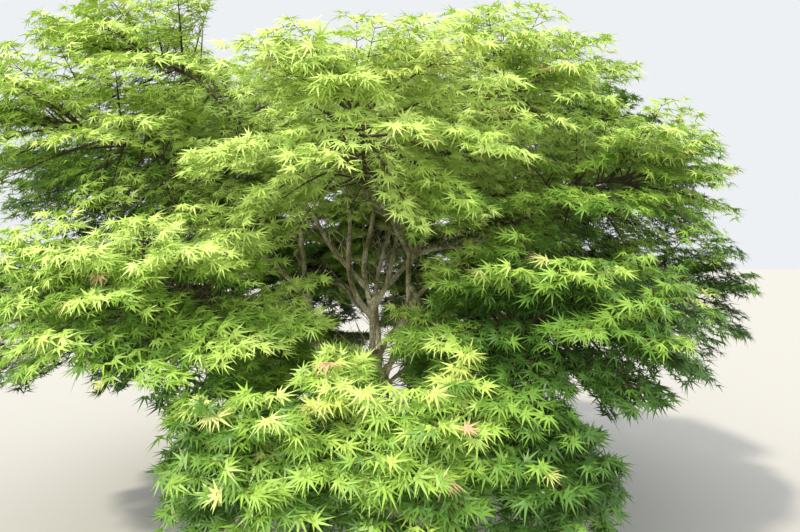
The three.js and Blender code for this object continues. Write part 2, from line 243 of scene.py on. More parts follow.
# %% Curves
class Curve:
    """A curve whose shares run evenly along its length."""

    def __init__(self, at):
        self.at = at
        self.t = np.linspace(0, 1, 201)
        steps = np.linalg.norm(np.diff(at(self.t), axis=0), axis=1)
        self.reached = np.concatenate([[0], np.cumsum(steps)])
        self.length = self.reached[-1]

    def points(self, shares):
        return self.at(np.interp(np.asarray(shares, float) * self.length, self.reached, self.t))

    def point(self, share):
        return self.points([share])[0]

    def tangent(self, share):
        t = np.interp(share * self.length, self.reached, self.t)
        near, far = self.at(np.array((max(t - 1e-4, 0), min(t + 1e-4, 1))))
        return unit(far - near)


def cubic(a, b, c, d):
    def at(t):
        t = np.asarray(t)[:, None]
        s = 1 - t
        return s**3 * a + 3 * s**2 * t * b + 3 * s * t**2 * c + t**3 * d

    return at


STIFFNESS = 0.36  # how long a limb keeps the way in which it leaves, as a share of its length
SIDE_WAVES, UP_WAVES = 1.4, 1.1  # over the length of a limb


def bough_curve(start, leaving, end, arriving, number):
    length = np.linalg.norm(end - start)
    sweep = cubic(start, start + leaving * length * STIFFNESS, end - arriving * length * STIFFNESS, end)
    side = unit(np.cross(UP, end - start))
    turns = number(), number()

    def at(t):
        stray = CROOK * length * np.sin(math.pi * t) ** 2
        sideways = stray * np.sin(2 * math.pi * (SIDE_WAVES * t + turns[0]))
        upwards = stray * np.sin(2 * math.pi * (UP_WAVES * t + turns[1]))
        return sweep(t) + sideways[:, None] * side + upwards[:, None] * UP

    return Curve(at)


fork_point = heading(TRUNK.lean_bearing) * TRUNK.lean + UP * TRUNK.height
trunk_curve = Curve(
    cubic(np.zeros(3), UP * TRUNK.height * 0.4, fork_point - UP * TRUNK.height * 0.35, fork_point)
)
print("length of the trunk:", round(trunk_curve.length, 3), "m")

# %% [markdown]
# ## Where each limb forks off
#
# The stems start on the trunk. Every other limb leaves the stem that serves it best: a short way to its
# mass, at an easy angle, and clear of the other stems. Trying every place on every stem is quick for so few
# limbs.

# %% Distance between straight stretches of limb
def stretches(curve, steps):
    points = curve.points(np.linspace(0, 1, steps + 1))
    return points[:-1], points[1:]


def distance_to_stretches(start, end, starts, ends):
    """The least distance from one straight line to each of several."""
    u, v, w = end - start, ends - starts, start - starts
    uu, uv, vv = u @ u, v @ u, np.einsum("ij,ij->i", v, v)
    vw, uw = np.einsum("ij,ij->i", v, w), w @ u
    across = uu * vv - uv**2
    s = np.where(across > 1e-9 * uu * vv, np.clip((uv * vw - vv * uw) / np.maximum(across, 1e-30), 0, 1), 0)
    t = np.clip((uv * s + vw) / vv, 0, 1)
    s = np.clip((uv * t - uw) / uu, 0, 1)
    return np.linalg.norm(w + s[:, None] * u - t[:, None] * v, axis=1)


print("stretches of the trunk:", len(stretches(trunk_curve, 8)[0]))

# %% Choosing a fork
FORK = SimpleNamespace(first=0.12, last=0.86, step=0.02, apart=0.075, angle=42, slopes=(12, 45), berth=0.060)
# What a degree too much and a crossing cost, in metres of way.
COST = SimpleNamespace(bend=0.009, steepness=0.011, crossing=0.9)


def fork_cost(space, share, stem, others):
    start = stem.curve.point(share)
    along = stem.curve.tangent(share)
    way = space.entry - start
    length = np.linalg.norm(way)
    slope = math.degrees(math.asin(way[2] / length))
    steepness = max(0, FORK.slopes[0] - slope) + max(0, slope - FORK.slopes[1])
    apart = distance_to_stretches(start + way * 0.1 / 1000, space.entry, *others)
    crossing = 0 if apart.min() > FORK.berth else COST.crossing
    bend = abs(math.degrees(math.acos(np.clip(along @ way / length, -1, 1))) - FORK.angle)
    return length + COST.bend * bend + COST.steepness * steepness + crossing


def best_fork(stems, space):
    best = None
    for stem in stems:
        pairs = [stretches(other.curve, 8) for other in stems if other is not stem]
        others = [np.concatenate(ends) for ends in zip(*pairs)]
        share = FORK.first
        while share <= FORK.last:
            if all(abs(taken - share) >= FORK.apart for taken in stem.forks):
                cost = fork_cost(space, share, stem, others)
                if best is None or cost < best[0]:
                    best = (cost, stem, share)
            share += FORK.step
    return best[1:]


print("forks lie between", FORK.first, "and", FORK.last, "of a stem")

# %% Growing the limbs
def grow_stem(space, i, middle):
    number = seeded_numbers(100 + i)
    if space.forked:
        heights = ((share, middle.curve.point(share)[2]) for share in np.arange(0, 1, 0.005))
        lowest = next(share for share, height in heights if height >= FORKED.height)
        share = lowest + FORKED.step * i
        middle.forks.append(share)
        leaving = unit(middle.curve.tangent(share) * FORKED.follows + heading(space.bearing, FORKED.slope))
        start, foot = middle.curve.point(share), FORKED.thinner * mix(STEM.foot, STEM.tip, share)
    else:
        start, foot = trunk_curve.point(0.9 - 0.05 * (i % 3)), STEM.foot * (STEM.thinner if middle else 1)
        leaving = heading(space.bearing, STEM.slope) if middle else UP
    curve = bough_curve(start, leaving, space.entry, space.arrival, number)
    buried = FORKED.buried if space.forked else STEM.buried
    return SimpleNamespace(space=space, curve=curve, foot=foot, tip=STEM.tip, buried=buried, forks=[])


def grow_bough(space, i, stems):
    stem, share = best_fork(stems, space)
    stem.forks.append(share)
    start = stem.curve.point(share)
    leaving = unit(stem.curve.tangent(share) * BOUGH.follows + unit(space.entry - start))
    curve = bough_curve(start, leaving, space.entry, space.arrival, seeded_numbers(200 + i))
    foot = min(BOUGH.foot, BOUGH.thinner * mix(stem.foot, STEM.tip, share))
    return SimpleNamespace(space=space, curve=curve, foot=foot, tip=BOUGH.tip, buried=BOUGH.buried, forks=[])


stems = []
for i, space in enumerate(s for s in spaces if s.tier.on_trunk):
    stems.append(grow_stem(space, i, stems[0] if stems else None))
limbs = list(stems)
for i, space in enumerate(s for s in spaces if not s.tier.on_trunk):
    limbs.append(grow_bough(space, i, stems))
print("limbs:", len(limbs), "with", round(sum(limb.curve.length for limb in limbs), 1), "m in all")

# %% [markdown]
# ## Finishes
#
# Three things show on this tree: grey-tan bark, thin young wood with reddish leaf stalks, and leaves in
# many greens. A node tree is easier to read when each node is one line, so one small function adds any node
# with its settings and its links. Colours are written as hex values, as a colour picker gives them, and
# turned to linear light by one function.

# %% Helpers for materials
def linear(hex_colour):
    channels = [int(hex_colour[i : i + 2], 16) / 255 for i in (1, 3, 5)]
    return [c / 12.92 if c <= 0.04045 else ((c + 0.055) / 1.055) ** 2.4 for c in channels] + [1.0]


def add_node(tree, kind, links=None, **settings):
    """Adds a node. Settings name its properties or its inputs, and links maps an input to its source."""
    node = tree.nodes.new(kind)
    for name, value in settings.items():
        if hasattr(node, name):
            setattr(node, name, value)
        else:
            node.inputs[name.replace("_", " ")].default_value = value
    for name, source in (links or {}).items():
        tree.links.new(source, node.inputs[name])
    return node


def new_material(name, **sockets):
    """A plain finish. Settings name sockets of its shader."""
    material = bpy.data.materials.new(name)
    material.use_nodes = True
    shader = material.node_tree.nodes["Principled BSDF"]
    for socket, value in sockets.items():
        shader.inputs[socket.replace("_", " ")].default_value = value
    return material


print("linear value of middle grey:", round(linear("#808080")[0], 3))

# %% [markdown]
# ## Leaves in many greens
#
# A maple leaf is a thin waxy blade: its half-rough skin of wax gives the broad soft gleam of a leaf in the
# sun. Leaves of one shoot are alike, so each small spray gets one plain colour: pale yellow-green where the
# crown meets the sun, deeper inside, and now and then the cream or pink of a young shoot. The colours take
# in the glow of light that comes through a thin leaf. Plain colours also keep their place when the leaves
# are joined into one mesh.

# %% Leaf colours
# From painted shade to painted sun: lit and shaded copies of one leaf green.
LEAF_GREENS = {
    "leaf_shade": "#466a28",
    "leaf_deep": "#598231",
    "leaf_green": "#6f993a",
    "leaf_mid": "#89b143",
    "leaf_fresh": "#a0c551",
    "leaf_pale": "#b7d662",
    "leaf_sunlit": "#cbe478",
}
LEAF_RARITIES = {"leaf_yellow": "#c6d96c", "leaf_young": "#cfd67e", "leaf_blush": "#d9b48a"}
YELLOW, YOUNG, BLUSH = range(len(LEAF_GREENS), len(LEAF_GREENS) + 3)

leaf_materials = [
    new_material(name, Base_Color=linear(colour), Roughness=0.4, IOR=1.45)
    for name, colour in {**LEAF_GREENS, **LEAF_RARITIES}.items()
]
# Stalks are smooth and reddish, which warms the gaps between leaves. Young wood is dull and dark, so that
# twigs read as thin dark lines.
stalk_material = new_material("leaf_stalk", Base_Color=linear("#b0623c"), Roughness=0.5)
twig_material = new_material("young_wood", Base_Color=linear("#4c3f2c"), Roughness=0.65)
print("leaf colours:", len(leaf_materials))

# %% [markdown]
# ## Bark
#
# The bark of a maple of this age is smooth and grey-tan, with fine cracks along the limb, pale patches of
# lichen and an olive cast where algae grow. Patches are about 70 mm across. The cracks are 6 mm apart,
# which is a little coarser than on the real tree, so that they still show. Noise gives both: it has no
# seam, and it suits a surface that has no pattern of its own.

# %% Bark
PATCHES_PER_M = 1 / 0.070
CRACKS_PER_M = 1 / 0.006

bark_material = new_material("maple_bark", Roughness=0.82)
tree = bark_material.node_tree
shader = tree.nodes["Principled BSDF"]
place = add_node(tree, "ShaderNodeTexCoord")
stretched = add_node(tree, "ShaderNodeMapping", {"Vector": place.outputs["Object"]}, Scale=(1, 1, 0.3))
along_limb = {"Vector": stretched.outputs[0]}
patches = add_node(tree, "ShaderNodeTexNoise", along_limb, Scale=PATCHES_PER_M, Detail=5.0)
cracks = add_node(tree, "ShaderNodeTexNoise", along_limb, Scale=CRACKS_PER_M, Detail=4.0)
tones = add_node(tree, "ShaderNodeValToRGB", {"Fac": patches.outputs["Fac"]})
tones.color_ramp.elements[0].position = 0.36
tones.color_ramp.elements[0].color = linear("#7d7a52")
tones.color_ramp.elements[1].position = 0.64
tones.color_ramp.elements[1].color = linear("#e6e0c0")
tones.color_ramp.elements.new(0.5).color = linear("#b8b28a")
lines = add_node(tree, "ShaderNodeValToRGB", {"Fac": cracks.outputs["Fac"]})
lines.color_ramp.elements[0].position = 0.38
lines.color_ramp.elements[0].color = linear("#8a8272")
lines.color_ramp.elements[1].position = 0.55
lines.color_ramp.elements[1].color = linear("#ffffff")
cracked = add_node(tree, "ShaderNodeMix", data_type="RGBA", blend_type="MULTIPLY", clamp_factor=True)
share_socket, first_colour, second_colour = cracked.inputs[0], cracked.inputs[6], cracked.inputs[7]
share_socket.default_value = 0.8
tree.links.new(tones.outputs["Color"], first_colour)
tree.links.new(lines.outputs["Color"], second_colour)
relief = add_node(tree, "ShaderNodeBump", {"Height": cracks.outputs["Fac"]}, Strength=0.5, Distance=0.003)
tree.links.new(cracked.outputs[2], shader.inputs["Base Color"])
tree.links.new(relief.outputs["Normal"], shader.inputs["Normal"])
print("bark nodes:", len(tree.nodes))

# %% [markdown]
# ## From arrays to pieces
#
# A million small faces are too many to make one by one. Each kind of thing is one array of corners, worked
# out for all its copies at once, and becomes a mesh in a single call.

# %% Making a piece
def copies(faces, count, corners_each):
    """The faces of one thing, numbered for each of its copies."""
    return (np.arange(count)[:, None, None] * corners_each + faces[None]).reshape(-1, faces.shape[1])


def joined(parts):
    """Corners and faces of several meshes as one."""
    starts = np.cumsum([0] + [len(corners) for corners, _ in parts])
    faces = [faces + start for (_, faces), start in zip(parts, starts)]
    return np.concatenate([corners for corners, _ in parts]), np.concatenate(faces)


def add_piece(name, corners, faces, materials, nodes, colours=None, smooth=False):
    """A piece that takes the place of nodes of the part. colours numbers the material of each face."""
    mesh = bpy.data.meshes.new(name)
    mesh.from_pydata(corners, [], faces)
    for material in materials:
        mesh.materials.append(material)
    if colours is not None:
        mesh.polygons.foreach_set("material_index", colours.astype(np.int32))
    mesh.polygons.foreach_set("use_smooth", np.full(len(faces), smooth))
    mesh.update()
    piece = bpy.data.objects.new(name, mesh)
    bpy.context.scene.collection.objects.link(piece)
    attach(piece, "root")
    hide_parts(*nodes)


print("a pair of triangles as copies:", copies(np.array([(0, 1, 2)]), 2, 3).tolist())

# %% [markdown]
# ## Rods
#
# Limbs and twigs are all rods: rings of corners along a line, closed by one corner at the tip. The limbs
# have many rings, and their skin is moved in and out by waves that run round and along them. That gives low
# ribs and knots in the mesh itself, so the outline isn't smooth. A limb is wider where it leaves its
# parent.

# %% Rods
SIDELONG = heading(37, 11)  # a way that no limb or twig keeps to, from which corners are counted


def rods(points, radii, sides):
    """Rods along rows of points, shaped (rods, rows, 3). radii has a number for each point or corner."""
    count, rows = points.shape[:2]
    along = unit(np.gradient(points, axis=1))
    level = unit(np.cross(along, np.broadcast_to(SIDELONG, along.shape)))
    across = np.cross(along, level)
    angles = np.linspace(0, 2 * math.pi, sides, endpoint=False)[:, None]
    around = np.cos(angles) * level[:, :, None] + np.sin(angles) * across[:, :, None]
    radii = np.broadcast_to(radii if radii.ndim == 3 else radii[..., None], (count, rows, sides))
    rings = points[:, :-1, None] + radii[:, :-1, :, None] * around[:, :-1]
    corners = np.concatenate([rings.reshape(count, -1, 3), points[:, -1:]], axis=1)
    faces = []
    for row in range(rows - 2):
        for side in range(sides):
            a, b = row * sides + side, row * sides + (side + 1) % sides
            faces += [(a, b, b + sides), (a, b + sides, a + sides)]
    last = (rows - 2) * sides
    faces += [(last + side, last + (side + 1) % sides, last + sides) for side in range(sides)]
    return corners.reshape(-1, 3), copies(np.array(faces), count, corners.shape[1])


def ribs(shares, angles, length, seed):
    """Waves from about -1 to 1 that run round and along a limb."""
    number = seeded_numbers(seed)
    total = 0
    for crests in (2, 3, 5, 8):
        wander = 2.2 * np.sin(2 * math.pi * (shares * length * (1.5 + number()) + number()))
        total = total + np.sin(crests * angles + wander + 6.3 * number()) / crests**0.6
    return total / 2.2


KNOT_STEP = 0.13


def knots(shares, length, seed):
    """Low rings from 0 to 1 where old twigs stood."""
    return np.cos(math.pi * (shares * length / KNOT_STEP + seeded_numbers(seed)())) ** 8


print("corners of a short rod:", len(rods(np.linspace((0, 0, 0), UP, 3)[None], np.full((1, 3), 0.01), 5)[0]))

# %% Trunk
TRUNK_ROWS, TRUNK_SIDES = 64, 80
TRUNK_RIBS = 0.035  # height of the ribs, as a share of the radius
ROUNDED_TOP = 0.14  # the share of the trunk that closes over the feet of the stems
INSET = 0.004  # keeps the bark's skin inside the reach of the solid
shares = np.linspace(0, 1, TRUNK_ROWS)[:, None]
angles = np.linspace(0, 2 * math.pi, TRUNK_SIDES, endpoint=False)[None]
flare = TRUNK.flare * np.exp(-shares * TRUNK.height / TRUNK.flare_height)
ridges = 0.65 + 0.35 * np.cos(TRUNK.buttresses * angles)
plain = mix(TRUNK.foot, TRUNK.neck, shares) + flare * ridges
rounded = np.sqrt(np.clip(1 - ((shares - (1 - ROUNDED_TOP)) / ROUNDED_TOP).clip(0) ** 2, 0, 1))
trunk_radii = (plain * (1 + TRUNK_RIBS * ribs(shares, angles, TRUNK.height, 7)) - INSET) * rounded
corners, faces = rods(trunk_curve.points(shares[:, 0])[None], trunk_radii[None], TRUNK_SIDES)
foot = np.arange(TRUNK_SIDES)
corners[foot, 2] = 0
corners = np.concatenate([corners, corners[foot].mean(axis=0, keepdims=True)])
cut = np.stack([np.roll(foot, -1), foot, np.full(TRUNK_SIDES, len(corners) - 1)], axis=1)
add_piece(
    "trunk_bark", corners, np.concatenate([faces, cut]), [bark_material], ["trunk"], smooth=True
)
print("faces of the trunk:", len(faces) + len(cut))

# %% Boughs
LIMB_SIDES, ROW_STEP = 12, 0.022
LIMB_RIBS, LIMB_KNOTS = 0.05, 0.09  # as shares of the radius
COLLAR = SimpleNamespace(wider=0.4, length=0.045)
DEAD_TWIGS = SimpleNamespace(first=0.15, last=0.96, step=0.035, shortest=0.12, longer=0.38)
DEAD_TWIG_RADII = [0.0032, 0.0024, 0.0008]


def limb_skin(limb, seed):
    length = limb.curve.length
    rows = max(16, round(length / ROW_STEP))
    shares = np.linspace(0, 1, rows)[:, None]
    angles = np.linspace(0, 2 * math.pi, LIMB_SIDES, endpoint=False)[None]
    past_parent = np.clip(shares * length - limb.buried, 0, None)
    collar = 1 + COLLAR.wider * np.exp(-past_parent / COLLAR.length)
    relief = LIMB_RIBS * ribs(shares, angles, length, seed) + LIMB_KNOTS * knots(shares, length, seed + 50)
    radii = mix(limb.foot, limb.tip, shares) * collar * (1 + relief)
    return rods(limb.curve.points(shares[:, 0])[None], radii[None], LIMB_SIDES)


def dead_twigs(limb, seed):
    """Thin bare twigs on a limb, where no light comes."""
    number = seeded_numbers(seed)
    points = []
    for share in np.arange(DEAD_TWIGS.first, DEAD_TWIGS.last, DEAD_TWIGS.step):
        start = limb.curve.point(share + 0.04 * number())
        along = limb.curve.tangent(share)
        around = turned(heading(0, 30 * number()), 360 * number())
        way = unit(along * 0.7 + around)
        length = DEAD_TWIGS.shortest + DEAD_TWIGS.longer * number()
        bend = unit(way + 0.5 * along) * length
        points.append([start, start + way * 0.5 * length, start + way * 0.5 * length + bend * 0.6])
    return rods(np.array(points), np.array([DEAD_TWIG_RADII] * len(points)), 4)


for tier in RINGS:
    tier_limbs = [limb for limb in limbs if limb.space.tier is tier]
    skins = [limb_skin(limb, 300 + limbs.index(limb)) for limb in tier_limbs]
    twigs = [dead_twigs(limb, 700 + limbs.index(limb)) for limb in tier_limbs]
    corners, faces = joined(skins + twigs)
    nodes = [f"bough_{limb.space.name}" for limb in tier_limbs]
    add_piece(f"bark_{tier.name}", corners, faces, [bark_material], nodes, smooth=True)
    print("faces of the", tier.name, "boughs:", len(faces))

# %% [markdown]
# ## One leaf
#
# Leaves of this kind are often 80 to 110 mm across, with five long narrow fingers and two short ones, and
# the ends of the fingers hang. Each long finger is one triangle, widest at the palm, with its own twist, so
# the fingers of a leaf catch the light differently. One more triangle, right across the palm, makes both
# short fingers. That is six triangles in a leaf, few enough to grow leaves by the hundred thousand. Eight
# shapes keep neighbours from being twins.

# %% One leaf
LONG_FINGERS = {0: 1.0, 34: 0.94, -34: 0.94, 70: 0.76, -70: 0.76}  # degrees from the middle one, and length
SHORT_FINGER = (104, 0.48)
FINGER_WIDTH = 0.080  # half the width at the palm, as a share of the leaf's length
FINGER_ROOT, PALM = 0.08, 0.06  # where fingers start and the palm ends, from the stalk
SPREAD, TWIST, DROOP = 12, 36, 25  # chance in a finger's angle, its twist and its slope, in degrees


def unit_leaf(seed):
    """A leaf that is 1 long: the stalk's end at the origin, the middle finger along x, the upper face up."""
    number = seeded_numbers(seed)
    corners = []
    for angle, length in LONG_FINGERS.items():
        angle += SPREAD * (number() - 0.5)
        root = heading(angle) * FINGER_ROOT
        tip = heading(angle, 3 - DROOP * number()) * length * (0.88 + 0.24 * number())
        side = heading(angle + 90, TWIST * (number() - 0.5)) * FINGER_WIDTH
        corners += [root - side, tip, root + side]
    angle, length = SHORT_FINGER
    droop = 20 * number()
    corners += [heading(-angle, -droop) * length, heading(0) * PALM, heading(angle, -droop) * length]
    return np.array(corners)


LEAF_SHAPES = np.array([unit_leaf(seed) for seed in range(8)])
LEAF_FACES = np.arange(LEAF_SHAPES.shape[1]).reshape(-1, 3)
print("triangles in a leaf:", len(LEAF_FACES))

# %% [markdown]
# ## The stem of a mass and its branchlets
#
# Where a bough enters its mass it turns into a thin stem. Branchlets leave it in pairs, low ones and steep
# ones in turn, with one at the end. This is the source's rule with its seeds, so the first branchlets are
# those of the solids. More pairs from another seed fill the room between them, and more hang down on the
# far side of the crown, where the eye looks through the stems at the inside of the masses.

# %% Stems and branchlets
# rises are the slopes of the pairs, tops the places of upright branchlets, ends the turn and rise of those
# near the stem's end, and bottoms the place, turn and rise of hanging ones.
COARSE = SimpleNamespace(pairs=4, rises=(-0.1, 0.8, -0.5, 0.5), tops=(0.25, 0.6), ends=(), bottoms=())
FINE = SimpleNamespace(
    pairs=11,
    rises=(0.35, -0.3, 1.1, 0.1, -0.6, 0.7, 0.0, 0.45, -0.2, 0.9, 0.25),
    tops=(0.06, 0.2, 0.35, 0.5, 0.65, 0.8, 0.95),
    ends=((14, 0.75), (-20, 0.4), (24, -0.15), (-12, -0.5), (4, 1.3), (-36, 1.0)),
    bottoms=((0.05, 150, -0.5), (0.1, -140, -0.9), (0.3, 100, -1.4), (0.5, -90, -1.1), (0.7, 60, -1.3)),
)
FAR_BOTTOMS = ((0.1, 170, -0.9), (0.05, -50, -1.6), (0.2, 40, -2.0), (0.15, -170, -0.3), (0.4, 0, -1.6))
FAR_SIDE = 0.3  # how far a mass faces away before it gets them
FIRST_PAIR, LAST_PAIR, CLOSES, TOP_RISE = 0.1, 0.86, 40, 1.5
PAIR_OFFSET = 0.012  # between the two of a pair
END_SHARE, END_RISE = 0.985, 0.15
TURN_CHANCE, RISE_CHANCE = 16, 0.3  # in degrees, and as a slope
TOP_TURNS, TOP_CHANCE = (-110, 80), 60
SHORTEST_RUN, LONGEST_RUN, RUN_STEP = 0.06, 1.2, 0.03
OVERREACH = -0.10  # a negative border, so the finer branchlets of neighbours overlap


def stem_curve(space):
    """The thin stem from a bough's tip over the middle of its mass."""
    long, _, deep = space.tier.half_sizes
    start = space.entry + space.arrival * CLEARANCE
    over = space.centre + UP * 0.15 * deep
    end = space.centre + space.outward * 0.36 * long
    return Curve(cubic(start, start + space.arrival * 0.3 * long, over, end))


def branchlet_ways(space, rule, number):
    """Shares of the stem where branchlets leave, and their directions. The end one comes first."""
    ways = []

    def add(share, turn, rise):
        number()
        ways.append((share, unit(turned(space.outward, turn) + UP * rise)))

    add(END_SHARE, 0, END_RISE)
    for pair in reversed(range(rule.pairs)):
        share = pair / (rule.pairs - 1)
        for side in (-1, 1):
            turn = mix(space.tier.opens, CLOSES, share) + TURN_CHANCE * (number() - 0.5)
            rise = rule.rises[pair] + RISE_CHANCE * (number() - 0.5)
            add(mix(FIRST_PAIR, LAST_PAIR, share) + PAIR_OFFSET * side, side * turn, rise)
    for i, share in enumerate(rule.tops):
        add(share, TOP_TURNS[i % 2] + TOP_CHANCE * (number() - 0.5), TOP_RISE)
    for turn, rise in rule.ends:
        add(0.9 + 0.08 * number(), turn, rise)
    more = FAR_BOTTOMS if rule.bottoms and space.outward[1] > FAR_SIDE else ()
    for share, turn, rise in rule.bottoms + more:
        add(share, turn + 20 * (number() - 0.5), rise)
    return ways


def longest_run(space, start, way, border):
    """The longest straight run from a point that stays in its own space."""
    lengths = np.arange(SHORTEST_RUN + RUN_STEP, LONGEST_RUN, RUN_STEP)
    inside = belongs(space, start + lengths[:, None] * way, border)
    return SHORTEST_RUN + RUN_STEP * (len(lengths) if inside.all() else np.argmin(inside))


def branchlets(space, stem, i):
    """Start, way and length of each branchlet of a mass."""
    found = []
    for rule, seed, border in ((COARSE, i, BORDER), (FINE, 400 + i, OVERREACH)):
        for share, way in branchlet_ways(space, rule, seeded_numbers(seed)):
            start = stem.point(share)
            found.append((*start, *way, longest_run(space, start, way, border)))
    found = np.array(found)
    return found[:, :3], found[:, 3:6], found[:, 6:]


counts = [len(branchlet_ways(spaces[0], rule, seeded_numbers(0))) for rule in (COARSE, FINE)]
print("branchlets of one mass:", counts)


# %% [markdown]
# ## Side twigs and leaves
#
# A branchlet carries side twigs in pairs, shorter towards its end, all near one level plane: that is what
# builds the tiers of a maple. Leaves sit in pairs on thin stalks, with one more at the end of each twig.
# They turn their faces up and outwards to the light. So they show as level streaks high in the crown, seen
# from their edges, and as stars low down, seen from above. The foot of a branchlet is bare, because leaves
# die where no light comes.

# %% Twigs as bent lines
def along_twig(twig, share):
    """Points and directions on twigs that are given by start, middle and end."""
    start, middle, end = twig
    share = share[:, None]
    point = (1 - share) ** 2 * start + 2 * share * (1 - share) * middle + share**2 * end
    return point, unit(mix(middle - start, end - middle, share))


def some(twig, which):
    return tuple(part[which] for part in twig)


def places(counts):
    """For things in a row on each twig: the twig's number, and the place as a share of the way."""
    owner = np.repeat(np.arange(len(counts)), counts)
    order = np.arange(counts.sum()) - np.repeat(np.cumsum(counts) - counts, counts)
    return owner, (order + 1) / counts[owner]


def levelled(way):
    return unit(way * (1, 1, 0) + (1e-6, 0, 0))


def swung(way, degrees):
    """Directions turned about the upright axis, each by its own angle."""
    c, s = np.cos(np.radians(degrees)), np.sin(np.radians(degrees))
    return np.stack([c * way[:, 0] - s * way[:, 1], s * way[:, 0] + c * way[:, 1], way[:, 2]], axis=1)


print("places on twigs with two and three:", places(np.array((2, 3)))[1].round(2).tolist())

# %% Side twigs
BARE = 0.12  # share of a branchlet with no side twigs
NODE_STEP = 0.080  # between pairs of side twigs
LAST_NODE = 0.94
BRANCHLET_REACH, BRANCHLET_DROOP = (0.84, 0.98), (0.06, 0.2)  # least and most, as shares of the run
TWIG_ANGLES, TWIG_REACH, TWIG_DROOP = (38, 62), (0.7, 1.25), (0.08, 0.35)
SHORTEST_TWIG, TWIG_SHARE, TWIG_TAPER = 0.05, 0.42, 0.7


def bent_branchlets(start, way, run, chance):
    """Each branchlet rises along its way, and its end comes down a little."""
    length = run * chance.uniform(*BRANCHLET_REACH, run.shape)
    end = start + way * length - UP * length * chance.uniform(*BRANCHLET_DROOP, run.shape)
    return start, start + way * 0.55 * length, end


def side_twigs(branch, chance):
    """Side twigs by start, middle and end, with the number of each one's branchlet."""
    length = np.linalg.norm(branch[2] - branch[0], axis=1)
    counts = np.maximum(1, np.rint((1 - BARE) * length / NODE_STEP)).astype(int)
    owner, share = places(counts)
    owner, share = np.repeat(owner, 2), np.repeat(BARE + (1 - BARE) * (share * LAST_NODE), 2)
    hand = np.tile((-1, 1), len(owner) // 2)
    start, way = along_twig(some(branch, owner), share)
    turn = hand * chance.uniform(*TWIG_ANGLES, len(owner))
    rise = 0.45 * way[:, 2:] + chance.uniform(-0.12, 0.12, (len(owner), 1))
    along = unit(swung(levelled(way), turn) + UP * rise)
    reach = SHORTEST_TWIG + TWIG_SHARE * length[owner] * (1 - share) ** TWIG_TAPER
    reach = (reach * chance.uniform(*TWIG_REACH, len(owner)))[:, None]
    end = start + along * reach - UP * reach * chance.uniform(*TWIG_DROOP, reach.shape)
    return (start, start + along * 0.5 * reach + UP * 0.02 * reach, end), owner


def leader_twigs(branch):
    """The last stretch of each branchlet, which carries leaves as a side twig does."""
    every = np.ones(len(branch[0]))
    start, _ = along_twig(branch, 0.8 * every)
    middle, _ = along_twig(branch, 0.9 * every)
    return start, middle, branch[2]


def stem_twigs(stem):
    """The stem itself in four stretches, which carry leaves on short spurs."""
    points = stem.points(np.linspace(0.1, 0.95, 9))
    return points[:-1:2], points[1::2], points[2::2]


print("spurs on a stem:", len(stem_twigs(stem_curve(spaces[0]))[0]))

# %% Leaves
LEAF_LENGTH = 0.065  # from the stalk to the tip of the middle finger
LEAF_STEP = 0.0395  # between pairs of leaves
STALK = (0.014, 0.036)  # the shortest and the longest
LEAF_ANGLES, LEAF_TURN, LEAF_RISE = (35, 75), (-9, 9), (-0.1, 0.45)
LEAN = 56  # the most that a leaf leans outwards, in degrees
UNEVEN = 0.22  # chance in the way that a leaf faces
LEAF_SIZES = (0.78, 1.2)
SHADE_HEIGHT, SHADE_GROWTH, FAR_GROWTH = 1.6, 0.28, 0.3


def leaves_on(twig, colours, tips, facing_away, chance):
    """Stalks and leaves on twigs: stalk's start, palm, way of the leaf, upper side, length and colour."""
    length = np.linalg.norm(twig[2] - twig[0], axis=1)
    owner, share = places(np.maximum(1, np.rint(length / LEAF_STEP)).astype(int))
    ends = np.flatnonzero(share > 0.999)
    pick = np.concatenate([np.arange(len(owner)), np.arange(len(owner)), ends])
    hand = np.concatenate([-np.ones(len(owner)), np.ones(len(owner)), np.zeros(len(ends))])
    owner, share = owner[pick], share[pick]
    node, way = along_twig(some(twig, owner), share)
    count = len(node)
    spread = hand * chance.uniform(*LEAF_ANGLES, count) * (1 - 0.25 * share)
    spread = spread + chance.uniform(*LEAF_TURN, count)
    out = unit(swung(levelled(way), spread) + UP * chance.uniform(*LEAF_RISE, (count, 1)))
    palm = node + out * chance.uniform(*STALK, (count, 1))
    lean = np.tan(np.radians(chance.uniform(0, LEAN, (count, 1))))
    upper = unit(UP + lean * levelled(node) + chance.normal(0, UNEVEN, (count, 3)))
    direction = unit(out - upper * (out * upper).sum(axis=1, keepdims=True))
    # Leaves low down and on the far side stand in more shade, so they grow larger.
    shade = np.clip(SHADE_HEIGHT - node[:, 2], 0, 1)
    growth = 1 + SHADE_GROWTH * shade + FAR_GROWTH * facing_away
    size = LEAF_LENGTH * growth * chance.uniform(*LEAF_SIZES, count) * (1.08 - 0.2 * share)
    colour = np.where(share > 0.999, tips[owner], colours[owner])
    return node, palm, direction, upper, size, colour


print("pairs of leaves on a twig of 200 mm:", round(0.2 / LEAF_STEP))
